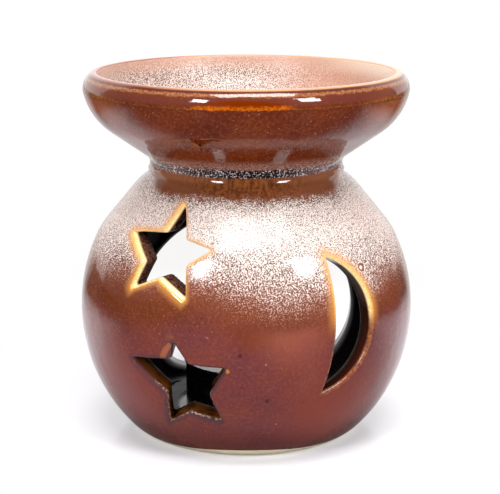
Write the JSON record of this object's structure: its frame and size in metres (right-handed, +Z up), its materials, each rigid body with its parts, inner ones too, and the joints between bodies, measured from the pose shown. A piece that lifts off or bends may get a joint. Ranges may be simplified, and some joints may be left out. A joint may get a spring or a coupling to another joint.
{
  "type": "essential oil burner",
  "caption": "Ceramic ball-shaped oil burner with a flared dish on its neck, star and crescent cut-outs, and a tealight that slides out at the back.",
  "frame": {"origin": "centre of the unglazed foot, on the table", "axes": "+Z up, -Y towards the pierced front with the stars and the crescent, +Y towards the opening that the tealight goes in by"},
  "size_m": [0.1, 0.0981, 0.1075],
  "materials": {
    "glazed_globe": "gloss",
    "glazed_dish": "gloss",
    "cup_foil": "satin",
    "wax": "satin",
    "wick_cotton": "matte",
    "sustainer_tin": "satin"
  },
  "bodies": {
    "burner": {"burner_globe": "glazed_globe", "oil_dish": "glazed_dish"},
    "tealight": {"tealight_cup": "cup_foil", "tealight_wax": "wax", "wick": "wick_cotton", "wick_sustainer": "sustainer_tin"}
  },
  "joints": [
    {"name": "tealight_slide", "type": "slide", "parent": "burner", "child": "tealight", "axis": [0, 0.9063, 0.4226], "range_m": [0, 0.08]}
  ]
}
